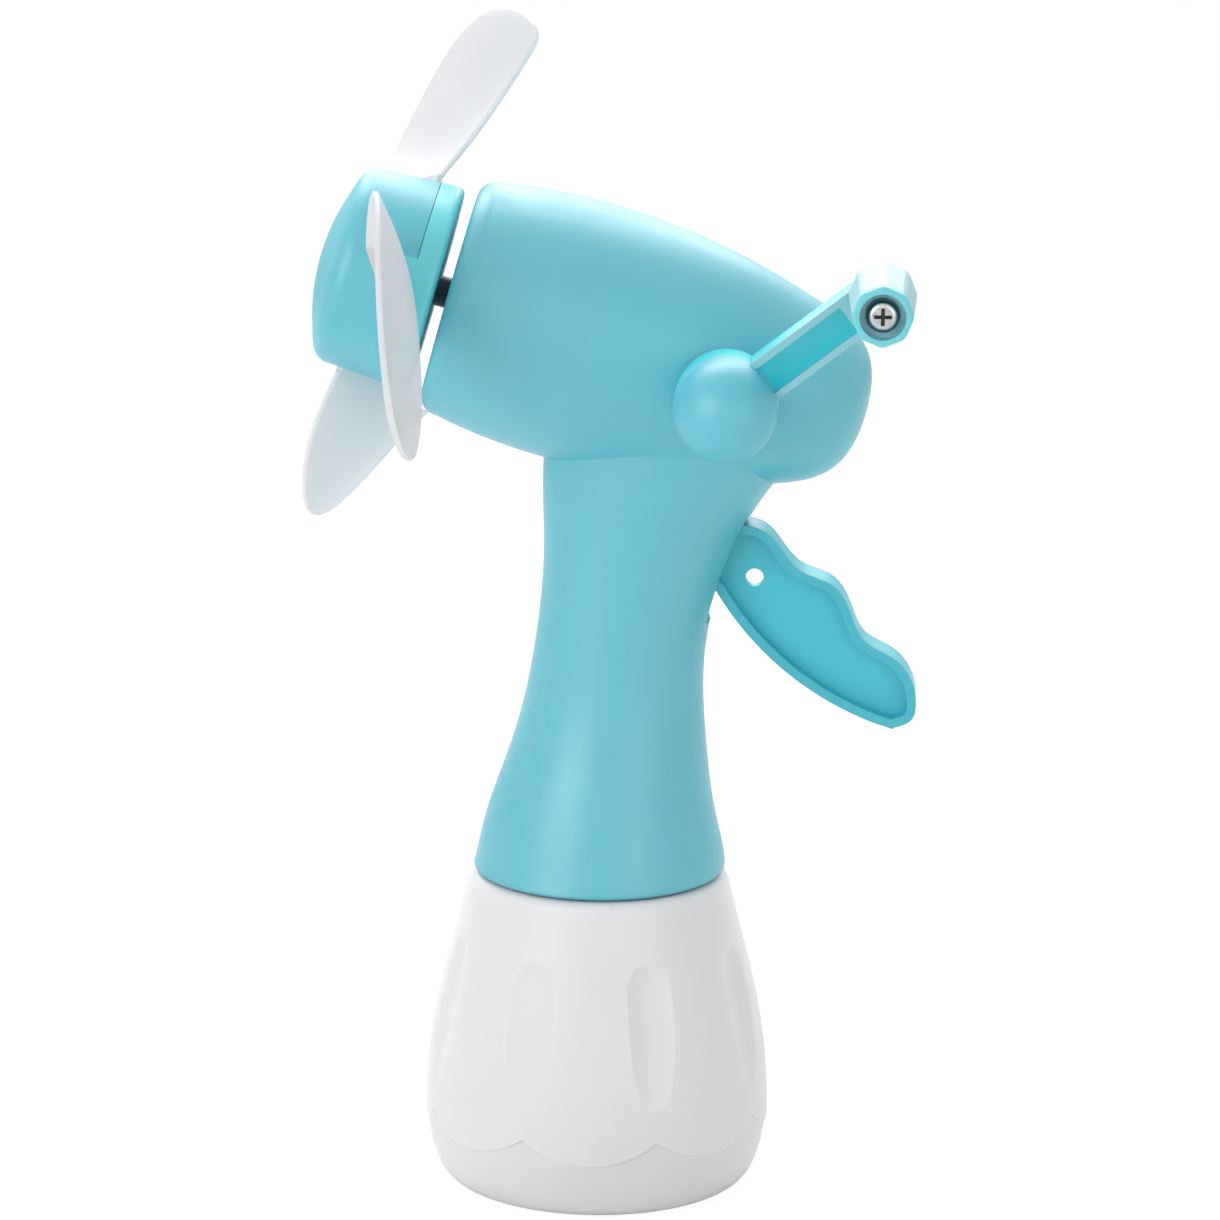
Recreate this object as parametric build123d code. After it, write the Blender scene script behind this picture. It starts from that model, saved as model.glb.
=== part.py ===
from build123d import *
import os
from math import cos, pi, radians, sin, sqrt, tan

# Hand-cranked misting fan. Millimetres and degrees.
# Origin: centre of the bottle's flat base. +Z up, the fan blows toward -Y,
# the trigger is at +Y and the crank is on the +X side.

# ---- water bottle ----
bottle_r = 38.65
bottle_base_flat_r = 32.0
bottle_belly_z = 15.0
bottle_mid_r = 37.0
bottle_mid_z = 36.0
bottle_upper_r = 33.0
bottle_upper_z = 54.0
bottle_top_r = 29.6
bottle_top_z = 67.5
bottle_shoulder_r = 26.6
bottle_wall = 1.5
base_groove_r = 24.0
base_groove_inner_r = 15.0
base_groove_h = 1.0
neck_r = 15.7
neck_wall = 1.8
neck_len = 16.8
flute_count = 8
flute_tool_r = 16.0
flute_depth = 0.75
flute_low_z = 26.0
flute_high_z = 61.0
scallop_cusp_z = 18.5
scallop_dip_z = 13.5
scallop_step = 0.5

# ---- screw thread between bottle and handle ----
thread_pitch = 4.0
thread_turns = 1.25
thread_height = 1.2
thread_base_w = 2.0
thread_tip_w = 1.0
thread_clear = 0.25
neck_thread_above_shoulder = 5.3

# ---- handle: (height, front edge, rear edge, half width) ----
rim_gap = 0.4
handle_sections = [
    (0.0, -28.3, 28.1, 28.2),
    (12.4, -25.4, 26.1, 25.4),
    (26.4, -20.7, 24.0, 21.9),
    (40.4, -16.8, 22.9, 19.6),
    (54.4, -14.4, 23.6, 18.8),
    (66.4, -13.2, 26.4, 18.9),
    (77.4, -13.0, 30.6, 19.4),
    (87.9, -13.3, 36.9, 20.0),
    (100.4, -12.8, 43.5, 20.5),
]
shell_wall = 1.8
seam_gap = 0.1
rib_t = 1.8
rib_clear = 0.2
rim_round = 1.1

# ---- head: an egg of revolution about the fan axis ----
head_tilt = 15.25
nose_y = -34.05
nose_z = 201.59
nose_flat_r = 23.0
nose_edge_r = 26.5
nose_edge_s = 4.2
head_r = 28.8
head_widest_s = 32.0
head_mid_r = 26.7
head_mid_s = 55.0
head_rear_r = 21.7
head_rear_s = 76.0
head_tail_r = 17.2
head_tail_s = 87.3
head_len = 95.1

# ---- fan spindle and its bushes ----
spindle_r = 3.4
spindle_rear_r = 2.6
mist_tube_r = 1.5
mist_tube_bore_r = 0.8
running_fit = 0.08
bush_wall = 1.8
front_bush_s = 0.4
front_bush_len = 6.6
rear_bush_s = 36.0
rear_bush_len = 4.0
thrust_collar_r = 4.6
thrust_collar_len = 1.5
end_play = 0.3

# ---- crown gear pair ----
gear_module = 0.9
crown_teeth = 40
pinion_teeth = 10
tooth_width = 3.2
tooth_share = 0.32
gear_disc_t = 2.5
gear_hub_r = 5.0

# ---- crank ----
crank_s = 64.0
crank_shaft_r = 2.5
crank_far_seat = 20.5
crank_bush_wall = 1.5
crank_boss_r = 6.4
crank_boss_x = 26.9
crank_hub_r = 11.2
crank_hub_x = 27.4
crank_rim_x = 39.0
crank_wall = 1.6
crank_radius = 42.0
crank_angle = 38.0
arm_width = 9.6
arm_back_x = 30.0
arm_wall = 1.5
arm_pocket_len = 33.0
boss_end_x = 33.0
crank_boss_in_x = 15.0
hub_boss_outer_r = 5.2
cap_spigot_len = 2.4
post_r = 3.0
grip_play = 0.4
post_proud = 0.2
grip_near_r = 6.9
grip_far_r = 6.1
grip_len = 25.0
grip_sides = 8
grip_edge_share = 0.35
grip_end_bevel = 0.5
grip_recess_r = 4.9
grip_recess_depth = 3.2

# ---- trigger ----
trigger_width = 9.6
trigger_rim = 2.0
trigger_web = 2.4
web_start = 2.4
trigger_hole_r = 2.0
trigger_hole_y = 33.9
trigger_hole_z = 139.2
pivot_y = 22.0
pivot_z = 146.0
pivot_r = 1.5
pivot_boss_r = 4.4
pull_angle = 18.0
pull_arm = 16.2
pull_arm_t = 3.6
nose_r = 2.5
slot_bottom_z = 129.4
slot_top_z = 153.9
side_clear = 0.25

# ---- pump ----
pump_y = 6.0
pump_outer_r = 6.2
pump_bore_r = 4.4
pump_roof_z = 170.0
pump_roof_t = 2.0
pump_mouth_z = 152.2
pump_flange_up = 9.8
pump_flange_t = 1.5
pump_flange_wide = 1.2
gland_t = 1.2
gland_plug_len = 1.4
piston_len = 4.0
rod_r = 1.5
slide_clear = 0.1
spring_wire_r = 0.4
spring_mean_r = 3.2
spring_turns = 5
chamber_r = 3.2
outlet_bottom_z = 164.0
outlet_len = 13.0
inlet_passage_z = 168.4
outlet_passage_z = 167.2
passage_r = 0.9
seat_plug_len = 5.0
piston_groove = 1.4
piston_groove_depth = 1.0
seal_clear = 0.08
piston_nub_r = 2.2
piston_nub_h = 1.2
inlet_y = -6.2
inlet_bottom_z = 158.0
ball_r = 1.5
dip_tube_r = 2.0
dip_tube_bore_r = 1.3
dip_tube_end_z = 6.0
strainer_r = 3.6
strainer_len = 9.0
elbow_s = 51.5
elbow_r = 2.7
elbow_socket = 2.8
nozzle_r = 2.6
nozzle_len = 5.0
nozzle_hole_r = 0.3
nozzle_face_t = 1.6
nozzle_clear = 0.5

# ---- collar ----
collar_r = 19.2
collar_bore_r = 17.15
collar_flange_r = 21.2
collar_flange_z = 84.0
collar_flange_t = 2.0
collar_bottom_gap = 1.8
washer_t = 2.0
washer_play = 0.2

# ---- fan hub and blades ----
hub_gap_s = 2.9
hub_depth = 21.1
hub_rear_r = 23.1
hub_front_r = 21.9
hub_rear_round = 1.6
hub_dome_s = 29.5
hub_corner = 2.2
hub_face_in = 4.9
hub_face_rise = 2.5
hub_wall = 1.8
hub_ring = 5.4
hub_boss_r = 7.0
blade_count = 3
blade_phase = -35.6
blade_root_r = 23.2
blade_tip_r = 63.3
blade_sweep_linear = -13.9
blade_sweep_square = 42.5
blade_skew_linear = -17.7
blade_skew_square = 9.6
blade_root_s = -14.1
blade_rake_linear = 3.1
blade_rake_square = 7.8
blade_root_pitch = -34.6
blade_tip_pitch = -22.8
blade_root_half = 8.8
blade_half = 21.3
blade_widest = 0.8
blade_root_camber = 0.27
blade_tip_camber = -0.07
blade_t = 1.4
slot_clear = 0.15
slot_end_clear = 0.5
slot_reach_r = 26.0
wedge_inset = 0.1
post_reach_r = 13.5
post_wall = 1.5

# ---- fasteners ----
screw_r = 1.45
screw_head_r = 2.7
screw_head_h = 2.0
screw_reach = 7.0
screw_boss_r = 3.2
screw_post_r = 4.2
counterbore_r = 3.0
grip_screw_head_r = 3.1
grip_screw_head_h = 1.9
grip_screw_r = 1.25
crank_screw_len = 10.0
grip_screw_len = 12.0
washer_disc_r = 3.6
washer_disc_t = 0.6

# ---- values worked out from the sizes above ----
shoulder_z = bottle_top_z + 3.6
rim_z = shoulder_z + rim_gap
neck_top_z = shoulder_z + neck_len
collar_roof_z = neck_top_z + washer_t + 2 * washer_play
HEAD = Location((0, nose_y, nose_z), (-head_tilt, 0, 0))
crank_y = nose_y + crank_s * cos(radians(head_tilt))
crank_z = nose_z - crank_s * sin(radians(head_tilt))
pinion_r = gear_module * pinion_teeth / 2
crown_r = gear_module * crown_teeth / 2
gear_s = crank_s - crown_r
bush_bore_r = spindle_r + running_fit
bush_r = bush_bore_r + bush_wall
rear_bush_end = rear_bush_s + rear_bush_len
spindle_bore_r = mist_tube_r + running_fit
spindle_front_s = -(hub_gap_s + hub_depth - 2.0)
spindle_end_s = gear_s + tooth_width / 2 + 0.4
crank_bush_r = crank_shaft_r + running_fit + crank_bush_wall
elbow_y = nose_y + elbow_s * cos(radians(head_tilt))
elbow_z = nose_z - elbow_s * sin(radians(head_tilt))
spigot_r = ball_r + 0.9
inlet_seat_z = inlet_bottom_z + seat_plug_len
outlet_seat_z = outlet_passage_z + passage_r + 1.1
outlet_top_z = outlet_bottom_z + outlet_len
start_angle = pull_angle / 2
rod_foot_z = pivot_z - pull_arm * sin(radians(start_angle)) + nose_r + 0.15
stroke = pull_arm * radians(pull_angle)
piston_z = pump_mouth_z + gland_t + gland_plug_len + 0.2
screw_places = [
    (HEAD * Location((0, 14, -16))).position,
    (HEAD * Location((0, 24, 17))).position,
    (HEAD * Location((0, 50, 20))).position,
    Vector(0, 12, 124),
    Vector(0, 8, 103),
]


def ring(outer, inner, length):
    """A plain sleeve standing on the XY plane."""
    low = (Align.CENTER, Align.CENTER, Align.MIN)
    return Cylinder(outer, length, align=low) - Cylinder(inner, length, align=low)


def rod(radius, length):
    """A plain round bar standing on the XY plane."""
    return Cylinder(radius, length, align=(Align.CENTER, Align.CENTER, Align.MIN))


def block(x0, x1, y0, y1, z0, z1):
    """A box between two corners."""
    centre = ((x0 + x1) / 2, (y0 + y1) / 2, (z0 + z1) / 2)
    return Pos(*centre) * Box(x1 - x0, y1 - y0, z1 - z0)


def along_x(shape, x, y, z):
    """Lay a shape drawn along Z down along +X, with its foot at x."""
    return Location((x, y, z), (0, 90, 0)) * shape


def along_fan_axis(shape, s):
    """Lay a shape drawn along Z down along the fan axis, from s rearward."""
    return HEAD * Location((0, s, 0), (-90, 0, 0)) * shape


# ---------------------------------------------------------------- bottle


def bottle_side(inset):
    """Outline of the bottle from the base's edge to the foot of the neck."""
    corner = Spline(
        [(bottle_base_flat_r - inset, inset), (bottle_r - inset, bottle_belly_z)],
        tangents=[(1, 0), (0, 1)],
        tangent_scalars=[0.85, 1.0],
    )
    side = Spline(
        [
            (bottle_r - inset, bottle_belly_z),
            (bottle_mid_r - inset, bottle_mid_z),
            (bottle_upper_r - inset, bottle_upper_z),
            (bottle_top_r - inset, bottle_top_z),
        ],
        tangents=[(0, 1), (-0.22, 1)],
    )
    shoulder = Spline(
        [(bottle_top_r - inset, bottle_top_z), (bottle_shoulder_r - inset, shoulder_z - inset)],
        tangents=[(-0.22, 1), (-1, 0)],
    )
    return [corner, side, shoulder]


def bottle_body(inset):
    """The bottle below its neck as a full solid, drawn in by inset."""
    outline = bottle_side(inset)
    closing = Polyline(
        (bottle_shoulder_r - inset, shoulder_z - inset),
        (0, shoulder_z - inset),
        (0, inset),
        (bottle_base_flat_r - inset, inset),
    )
    return revolve(Plane.XZ * make_face([*outline, closing]), axis=Axis.Z)


def flutes(tool_r):
    """Eight long shallow dents, as the round-ended tools that press them."""
    lean = (bottle_mid_r - bottle_upper_r) / (bottle_upper_z - bottle_mid_z)
    end_reach = sqrt(2 * flute_tool_r * flute_depth)
    low_z = flute_low_z + end_reach
    high_z = flute_high_z - end_reach
    axis_r = bottle_mid_r + flute_tool_r - flute_depth
    low = Vector(axis_r - lean * (low_z - bottle_mid_z), 0, low_z)
    high = Vector(axis_r - lean * (high_z - bottle_mid_z), 0, high_z)
    path = high - low
    bar = Plane(origin=low, z_dir=path) * rod(tool_r, path.length)
    tool = bar + Pos(*low) * Sphere(tool_r) + Pos(*high) * Sphere(tool_r)
    step = 360 / flute_count
    return [Rot(0, 0, step * (k + 0.5)) * tool for k in range(flute_count)]


def scallop_band():
    """Everything below the scalloped line, one arched panel for each sector."""
    half = bottle_r * sin(pi / flute_count)
    arch = ThreePointArc((-half, scallop_cusp_z), (0, scallop_dip_z), (half, scallop_cusp_z))
    sides = Polyline((half, scallop_cusp_z), (half, -1), (-half, -1), (-half, scallop_cusp_z))
    panel = extrude(Plane.YZ.offset(bottle_base_flat_r / 2) * make_face([arch, sides]), bottle_r)
    step = 360 / flute_count
    band = Part()
    for k in range(flute_count):
        band += Rot(0, 0, step * k) * panel
    return band


def helical_ridge(root_r, tip_r, start_z):
    """A screw thread's ridge, from its root radius to its crest."""
    height = thread_pitch * thread_turns
    path = Helix(thread_pitch, height, root_r)
    profile = make_face(
        Polyline(
            (root_r, -thread_base_w / 2),
            (tip_r, -thread_tip_w / 2),
            (tip_r, thread_tip_w / 2),
            (root_r, thread_base_w / 2),
            close=True,
        )
    )
    return Pos(0, 0, start_z) * sweep(Plane.XZ * profile, path, is_frenet=True)


def bottle():
    """Blow-moulded bottle: fluted body, scalloped foot, threaded neck."""
    outside = bottle_body(0)
    outside -= scallop_band() - Pos(0, 0, -scallop_step) * bottle_body(scallop_step)
    inside = bottle_body(bottle_wall)
    outside -= flutes(flute_tool_r)
    inside -= flutes(flute_tool_r + bottle_wall)
    outside -= ring(base_groove_r, base_groove_inner_r, base_groove_h)
    inside -= rod(base_groove_r + bottle_wall, base_groove_h + bottle_wall)
    neck = Pos(0, 0, shoulder_z - bottle_wall) * rod(neck_r, neck_len + bottle_wall)
    bore = Pos(0, 0, shoulder_z - 3 * bottle_wall) * rod(neck_r - neck_wall, neck_len + 4 * bottle_wall)
    ridge = helical_ridge(neck_r - 0.2, neck_r + thread_height, shoulder_z + neck_thread_above_shoulder)
    return outside + neck + ridge - inside - bore


def neck_washer():
    """Flat rubber ring between the bottle's mouth and the collar's roof."""
    return Pos(0, 0, neck_top_z + washer_play) * ring(neck_r + 0.9, neck_r - 3.2, washer_t)


# ---------------------------------------------------------------- handle and head


def handle_solid(inset):
    """The flared handle, lofted through ellipses, drawn in by inset."""
    slices = []
    for height, front, rear, half in handle_sections:
        middle = (front + rear) / 2
        deep = (rear - front) / 2 - inset
        slices.append(Pos(0, middle, rim_z + height) * Ellipse(half - inset, deep))
    return loft(slices)


def head_solid(inset):
    """The egg-shaped head, turned about the fan axis, drawn in by inset."""
    face = Line((0, inset), (nose_flat_r - inset, inset))
    edge = ThreePointArc(
        (nose_flat_r - inset, inset),
        (nose_flat_r - inset + 2.6, inset + 1.5),
        (nose_edge_r - inset, nose_edge_s + inset / 2),
    )
    egg = Spline(
        [
            (nose_edge_r - inset, nose_edge_s + inset / 2),
            (head_r - inset, head_widest_s),
            (head_mid_r - inset, head_mid_s),
            (head_rear_r - inset, head_rear_s),
            (head_tail_r - inset, head_tail_s - inset / 3),
            (0, head_len - inset),
        ],
        tangents=[(0.2, 1), (-1, 0)],
    )
    axis_line = Line((0, head_len - inset), (0, inset))
    return HEAD * revolve(make_face([face, edge, egg, axis_line]), axis=Axis.Y)


def body_solid(inset):
    """Head and handle together, drawn in by inset."""
    return head_solid(inset) + handle_solid(inset)


def rim_rounding():
    """The sliver taken off the handle's bottom edge to round it."""
    edge_r = handle_sections[0][3]
    corner = make_face(
        [
            Line((edge_r - rim_round, rim_z), (edge_r + 2, rim_z)),
            Line((edge_r + 2, rim_z), (edge_r + 2, rim_z + rim_round)),
            Line((edge_r + 2, rim_z + rim_round), (edge_r - 0.1, rim_z + rim_round)),
            RadiusArc((edge_r - 0.1, rim_z + rim_round), (edge_r - rim_round, rim_z), rim_round * 1.3),
        ]
    )
    return revolve(Plane.XZ * corner, axis=Axis.Z)


def side_box(side):
    """Everything on one side of the parting plane, clear of the seam."""
    far = 80
    low = seam_gap / 2
    if side > 0:
        return block(low, far, -far, far, rim_z - 1, 300)
    return block(-far, -low, -far, far, rim_z - 1, 300)


def saddle_plate(s, length, half_height):
    """A web across the head that carries a bush on the fan axis."""
    return HEAD * block(-head_r, head_r, s, s + length, -half_height, half_height)


def collar_ribs():
    """Two hoops inside the handle that trap the collar's flange."""
    lower = Pos(0, 0, collar_flange_z - rib_clear - rib_t) * rod(40, rib_t)
    upper = Pos(0, 0, collar_flange_z + collar_flange_t + rib_clear) * rod(40, rib_t)
    return lower + upper - Pos(0, 0, rim_z) * rod(collar_r + rib_clear, 60)


def pump_ribs():
    """Two webs above and below the pump's flange."""
    flange_z = pump_mouth_z + pump_flange_up
    high_z = flange_z + pump_flange_t + rib_clear
    lower = block(-30, 30, pump_y - 5, pump_y + 5, flange_z - rib_clear - rib_t, flange_z - rib_clear)
    upper = block(-30, 30, pump_y - 5, pump_y + 5, high_z, high_z + rib_t)
    hole = Pos(0, pump_y, flange_z - 5) * rod(pump_outer_r + rib_clear, 20)
    return lower + upper - hole


def pivot_tubes():
    """Tubes that hold the trigger's pin, one on each side."""
    reach = 30
    start = trigger_width / 2 + side_clear
    near = along_x(rod(pivot_boss_r, reach), start, pivot_y, pivot_z)
    return near + along_x(rod(pivot_boss_r, reach), -start - reach, pivot_y, pivot_z)


def shared_ribs():
    """Webs, saddles and tubes that both halves carry inside."""
    nose_len = front_bush_s + front_bush_len
    front = saddle_plate(0, nose_len, bush_r + 2.4)
    front += along_fan_axis(rod(bush_r + 2.4, nose_len), 0)
    rear = saddle_plate(rear_bush_s + 0.4, rear_bush_len - 0.8, bush_r + 2.4)
    return front + rear + collar_ribs() + pump_ribs() + pivot_tubes()


def shared_holes():
    """Bores and openings that cut both halves."""
    half = trigger_width / 2 + side_clear + 0.2
    return [
        along_fan_axis(rod(bush_r, rear_bush_end + 4), -2),
        along_x(rod(pivot_r, 22), -11, pivot_y, pivot_z),
        block(-half, half, pivot_y - 2, pivot_y + 30, slot_bottom_z, slot_top_z),
        rim_rounding(),
    ]


def hollow_body():
    """The thin-walled body before it is parted, open at the handle's rim."""
    skin = body_solid(0) - body_solid(shell_wall)
    return skin - Pos(0, 0, rim_z - 1) * rod(handle_sections[0][3] - shell_wall, 1.6)


def shell_crank_side(skin, core):
    """Half of the body with the crank's bearing boss and blind screw bosses."""
    inner = shared_ribs()
    for place in screw_places:
        inner += along_x(rod(screw_boss_r, 40), 0, place.Y, place.Z)
    boss = along_x(rod(crank_boss_r, crank_boss_x - crank_boss_in_x), crank_boss_in_x, crank_y, crank_z)
    holes = shared_holes() + [along_x(rod(crank_bush_r, 30), 10, crank_y, crank_z)]
    for place in screw_places:
        holes.append(along_x(rod(screw_r + 0.03, 2 * screw_reach), -screw_reach, place.Y, place.Z))
    box = side_box(1)
    half = (skin & box) + (inner & (core & box)) + boss
    return half.cut(*holes)


def shell_far_side(skin, core):
    """Half of the body with the screw posts and the crank shaft's far seat."""
    inner = shared_ribs() + along_x(rod(crank_shaft_r + 2.5, 30), -44, crank_y, crank_z)
    for place in screw_places:
        inner += along_x(rod(screw_post_r, 40), -40, place.Y, place.Z)
    holes = shared_holes()
    seat_r = crank_shaft_r + running_fit
    holes.append(along_x(rod(seat_r, 30), -crank_far_seat, crank_y, crank_z))
    for place in screw_places:
        holes.append(along_x(rod(counterbore_r, 40), -40 - screw_reach, place.Y, place.Z))
        holes.append(along_x(rod(screw_r + 0.15, 60), -50, place.Y, place.Z))
    box = side_box(-1)
    half = (skin & box) + (inner & (core & box))
    return half.cut(*holes)


def cross_recess(depth, reach):
    """The cross-shaped recess of a screw's head, open at z = 0."""
    arm = Box(2 * reach, 0.8, 2 * depth)
    return arm + Rot(0, 0, 90) * arm


def pan_screw(shank_r, shank_len, head_r, head_h):
    """A pan-head screw with its shank down and its head's seat at z = 0."""
    head = rod(head_r, head_h)
    head = fillet(head.edges().group_by(Axis.Z)[-1], head_h * 0.55)
    shank = Pos(0, 0, -shank_len) * rod(shank_r, shank_len + 0.1)
    screw = head + shank
    return screw - Pos(0, 0, head_h) * cross_recess(head_h * 0.6, head_r * 0.6)


def shell_screws():
    """Five screws that draw the two halves together from the far side."""
    screw = pan_screw(screw_r, 2 * screw_reach - 0.6, screw_head_r, screw_head_h)
    turned = Rot(0, -90, 0) * screw
    return Compound([Pos(-screw_reach, p.Y, p.Z) * turned for p in screw_places])


# ---------------------------------------------------------------- fan drive


def front_bush():
    """Plain bush in the head's nose."""
    return along_fan_axis(ring(bush_r, bush_bore_r, front_bush_len), front_bush_s)


def rear_bush():
    """Plain bush on the head's inner web."""
    return along_fan_axis(ring(bush_r, bush_bore_r, rear_bush_len), rear_bush_s)


def fan_spindle():
    """Hollow spindle that turns on the fixed mist tube."""
    bar = along_fan_axis(rod(spindle_r, rear_bush_end + end_play - spindle_front_s), spindle_front_s)
    bar += along_fan_axis(
        rod(spindle_rear_r, spindle_end_s - rear_bush_end), rear_bush_end
    )
    collar_s = front_bush_s + front_bush_len + end_play
    bar += along_fan_axis(rod(thrust_collar_r, thrust_collar_len), collar_s)
    return bar - along_fan_axis(rod(spindle_bore_r, 100), spindle_front_s - 5)


def tooth(root_half, tip_half, low, high, width):
    """One straight tooth standing along X, its flanks leaning in."""
    outline = Polyline(
        (-root_half, low), (root_half, low), (tip_half, high), (-tip_half, high), close=True
    )
    return extrude(Plane.XZ * make_face(outline), width / 2, both=True)


def spindle_pinion():
    """Small spur pinion pressed on the spindle's rear end."""
    pitch = pi * gear_module
    root = pinion_r - 1.2 * gear_module
    tip = pinion_r + 0.9 * gear_module
    body = rod(root, tooth_width + 0.4)
    one = tooth(pitch * 0.28, pitch * 0.11, root - 0.3, tip, tooth_width + 0.4)
    one = Rot(90, 0, 0) * one
    one = Pos(0, 0, (tooth_width + 0.4) / 2) * one
    body += [Rot(0, 0, 360 / pinion_teeth * k) * one for k in range(pinion_teeth)]
    start = gear_s - (tooth_width + 0.4) / 2
    hub_len = start - rear_bush_end - 2 * end_play
    gear = along_fan_axis(body, start)
    gear += along_fan_axis(rod(thrust_collar_r, hub_len), rear_bush_end + 2 * end_play)
    return gear - along_fan_axis(rod(spindle_rear_r, 30), rear_bush_end - 5)


def crown_gear():
    """Crown gear on the crank's shaft, its teeth facing the pinion."""
    inner = crown_r - tooth_width / 2
    outer = crown_r + tooth_width / 2
    face_x = pinion_r + 1.2 * gear_module
    pitch = pi * gear_module
    disc = Pos(0, 0, face_x) * ring(outer, crank_shaft_r, gear_disc_t)
    disc += Pos(0, 0, face_x) * ring(gear_hub_r, crank_shaft_r, crank_boss_in_x - 0.5 - face_x)
    one = tooth(pitch * tooth_share, pitch * 0.12, 0, 2.1 * gear_module, tooth_width)
    one = Location((0, crown_r, face_x + 0.05), (0, 180, 0)) * one
    disc += [Rot(0, 0, 360 / crown_teeth * k) * one for k in range(crown_teeth)]
    return along_x(Rot(0, 0, -head_tilt) * disc, 0, crank_y, crank_z)


# ---------------------------------------------------------------- crank


def crank_shaft():
    """Steel shaft across the head, from the far seat to the crank's hub."""
    start = -crank_far_seat + end_play
    shaft = along_x(rod(crank_shaft_r, boss_end_x - start), start, crank_y, crank_z)
    hole = rod(grip_screw_r, crank_screw_len + 2)
    return shaft - along_x(hole, boss_end_x - crank_screw_len - 1, crank_y, crank_z)


def crank_bush():
    """Plain bush in the body's crank boss."""
    sleeve = ring(crank_bush_r, crank_shaft_r + running_fit, crank_boss_x - crank_boss_in_x)
    return along_x(sleeve, crank_boss_in_x, crank_y, crank_z)


def crank_frame(x, radius):
    """A place on the crank's arm at rest, measured from the crank's axis."""
    up = radians(crank_angle)
    return (x, crank_y + radius * cos(up), crank_z + radius * sin(up))


def crank_arm():
    """Hub skirt, channel arm and the post that the grip turns on."""
    depth = crank_rim_x - crank_hub_x
    skirt = along_x(ring(crank_hub_r, crank_hub_r - crank_wall, depth), crank_hub_x, crank_y, crank_z)
    floor = along_x(rod(crank_hub_r, arm_wall), arm_back_x, crank_y, crank_z)
    boss = along_x(rod(hub_boss_outer_r, boss_end_x - crank_hub_x), crank_hub_x, crank_y, crank_z)
    lay = Location((0, crank_y, crank_z), (crank_angle, 0, 0))
    start = crank_hub_r - 1
    arm = lay * block(arm_back_x, crank_rim_x, start, crank_radius, -arm_width / 2, arm_width / 2)
    arm += along_x(rod(arm_width / 2, crank_rim_x - arm_back_x), arm_back_x, *crank_frame(0, crank_radius)[1:])
    half = arm_width / 2 - arm_wall
    pocket = lay * block(arm_back_x + arm_wall, 50, start - 3, arm_pocket_len, -half, half)
    pocket -= along_x(rod(crank_hub_r, 40), 20, crank_y, crank_z)
    post_len = grip_len - grip_recess_depth + grip_play + post_proud
    post = along_x(rod(post_r, post_len), crank_rim_x, *crank_frame(0, crank_radius)[1:])
    crank = skirt + floor + boss + (arm - pocket) + post
    crank -= along_x(rod(crank_shaft_r, 10), crank_hub_x - 1, crank_y, crank_z) & block(
        0, boss_end_x, -100, 100, 0, 300
    )
    return crank - along_x(rod(grip_screw_r, 14), 50, *crank_frame(0, crank_radius)[1:])


def crank_cap():
    """Domed cap snapped over the hub's open side."""
    outer = Pos(crank_rim_x, crank_y, crank_z) * Sphere(crank_hub_r)
    inner = Pos(crank_rim_x, crank_y, crank_z) * Sphere(crank_hub_r - crank_wall)
    keep = block(crank_rim_x, crank_rim_x + 20, crank_y - 20, crank_y + 20, crank_z - 20, crank_z + 20)
    dome = (outer - inner) & keep
    spigot_r = crank_hub_r - crank_wall - 0.05
    inner_r = spigot_r - 1.2
    spigot = along_x(ring(spigot_r, inner_r, cap_spigot_len + 1.6), crank_rim_x - cap_spigot_len, crank_y, crank_z)
    seat = along_x(ring(crank_hub_r - 1.0, inner_r, 1.6), crank_rim_x, crank_y, crank_z)
    return dome + spigot + seat


def crank_screw():
    """Screw that keeps the crank's hub on the shaft, under the cap."""
    screw = pan_screw(grip_screw_r, crank_screw_len, grip_screw_head_r, grip_screw_head_h)
    return along_x(screw, boss_end_x, crank_y, crank_z)


def crank_grip():
    """Tapered sleeve that spins on the crank's post."""
    x0 = crank_rim_x + grip_play
    near = RegularPolygon(grip_near_r, grip_sides, major_radius=False)
    far = RegularPolygon(grip_far_r, grip_sides, major_radius=False)
    corner = grip_far_r * grip_edge_share
    sleeve = loft([fillet(near.vertices(), corner), Pos(0, 0, grip_len) * fillet(far.vertices(), corner)])
    sleeve = chamfer(sleeve.faces().sort_by(Axis.Z)[-1].edges(), grip_end_bevel)
    sleeve -= Pos(0, 0, -1) * rod(post_r + running_fit, grip_len + 2)
    sleeve -= Pos(0, 0, grip_len - grip_recess_depth) * rod(grip_recess_r, grip_len)
    return along_x(sleeve, x0, *crank_frame(0, crank_radius)[1:])


def grip_washer():
    """Dark washer under the grip screw's head."""
    x0 = crank_rim_x + grip_play + post_proud + grip_len - grip_recess_depth
    disc = ring(washer_disc_r, grip_screw_r + 0.1, washer_disc_t)
    return along_x(disc, x0, *crank_frame(0, crank_radius)[1:])


def grip_screw():
    """Pan-head screw that keeps the grip on its post."""
    x0 = crank_rim_x + grip_play + post_proud + grip_len - grip_recess_depth + washer_disc_t
    screw = pan_screw(grip_screw_r, 12, grip_screw_head_r, grip_screw_head_h)
    return along_x(screw, x0, *crank_frame(0, crank_radius)[1:])


# ---------------------------------------------------------------- trigger


def trigger_back():
    """Finger side of the lever, from its root over the waves and round the tip."""
    points = [
        (31.0, 151.8),
        (37.2, 149.6),
        (44.0, 141.8),
        (50.9, 138.8),
        (55.3, 132.6),
        (58.4, 126.2),
        (64.6, 122.5),
        (69.1, 117.2),
        (70.2, 111.6),
        (68.6, 107.6),
        (65.2, 106.2),
        (61.4, 107.2),
    ]
    return Spline(points, tangents=[(1, 0), (-1, 0.3)])


def trigger_front():
    """Side of the lever that faces the handle."""
    return ThreePointArc((61.4, 107.2), (42.4, 117.7), (25.6, 136.6))


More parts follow.
